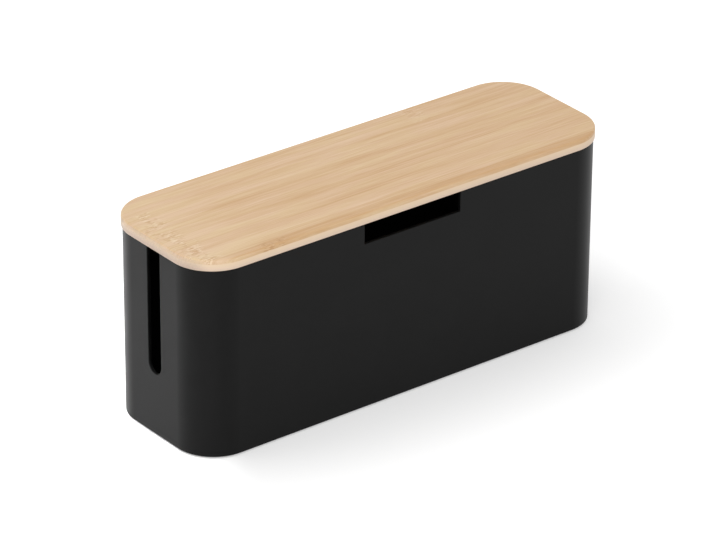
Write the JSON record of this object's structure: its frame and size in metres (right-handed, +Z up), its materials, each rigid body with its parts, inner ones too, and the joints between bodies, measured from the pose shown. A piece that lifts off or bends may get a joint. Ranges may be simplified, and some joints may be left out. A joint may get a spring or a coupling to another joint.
{
  "type": "cable management box",
  "caption": "Long rounded cable box of satin black plastic with a cable slot in each end, a notch in the front rim and a lift-off bamboo lid.",
  "frame": {"origin": "on the ground, under the middle of the box: the bottom centre of its bounding box", "axes": "+Z up; +X along the box's long side; the front wall with the notch faces -Y"},
  "size_m": [0.32, 0.1024, 0.1355],
  "materials": {
    "black_plastic": "satin injection moulding with a very fine texture",
    "guide_plastic": "satin injection moulding",
    "foot_rubber": "matt",
    "bamboo": "sanded glued bamboo staves under a thin clear matt lacquer",
    "screw_steel": "bright zinc plated"
  },
  "bodies": {
    "box": {"box_shell": "black_plastic", "foot_front_left": "foot_rubber", "foot_front_right": "foot_rubber", "foot_rear_left": "foot_rubber", "foot_rear_right": "foot_rubber"},
    "lid": {"lid_board": "bamboo", "lid_guide_front_left": "guide_plastic", "lid_guide_front_right": "guide_plastic", "lid_guide_rear_left": "guide_plastic", "lid_guide_rear_right": "guide_plastic", "lid_guide_screws": "screw_steel"}
  },
  "joints": [
    {"name": "lid_lift", "type": "slide", "parent": "box", "child": "lid", "axis": [0, 0, 1], "range_m": [0, 0.12]}
  ]
}
